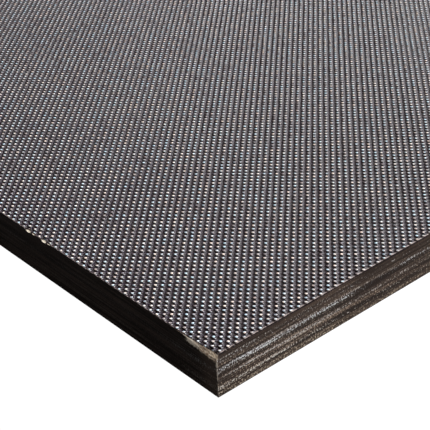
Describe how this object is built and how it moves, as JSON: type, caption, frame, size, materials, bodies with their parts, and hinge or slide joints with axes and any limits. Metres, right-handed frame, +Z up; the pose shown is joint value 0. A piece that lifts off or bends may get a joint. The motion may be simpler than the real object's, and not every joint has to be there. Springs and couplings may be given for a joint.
{
  "type": "anti-slip film-faced plywood sheet",
  "caption": "Full rectangular plywood sheet with a dark phenolic film on both faces; the top film is imprinted with a fine wire mesh for grip, and the sawn edges are sealed.",
  "frame": {"origin": "centre of the underside", "axes": "+X along the sheet, in the face grain direction; +Y across it; +Z up, out of the mesh face. The pictured chipped corner is at -X, -Y."},
  "size_m": [2.44, 1.22, 0.018],
  "materials": {
    "mesh_film": "satin, wire-mesh imprint",
    "veneer_long": "sawn and sealed edge, dark",
    "veneer_cross": "sawn and sealed edge, dark, end grain",
    "smooth_film": "smooth, satin"
  },
  "bodies": {
    "root": {"mesh_film": "mesh_film", "ply_1_face": "veneer_long", "ply_2_cross": "veneer_cross", "ply_3_long": "veneer_long", "ply_4_cross": "veneer_cross", "ply_5_long": "veneer_long", "ply_6_cross": "veneer_cross", "ply_7_long": "veneer_long", "ply_8_cross": "veneer_cross", "ply_9_back": "veneer_long", "smooth_film": "smooth_film"}
  },
  "joints": []
}
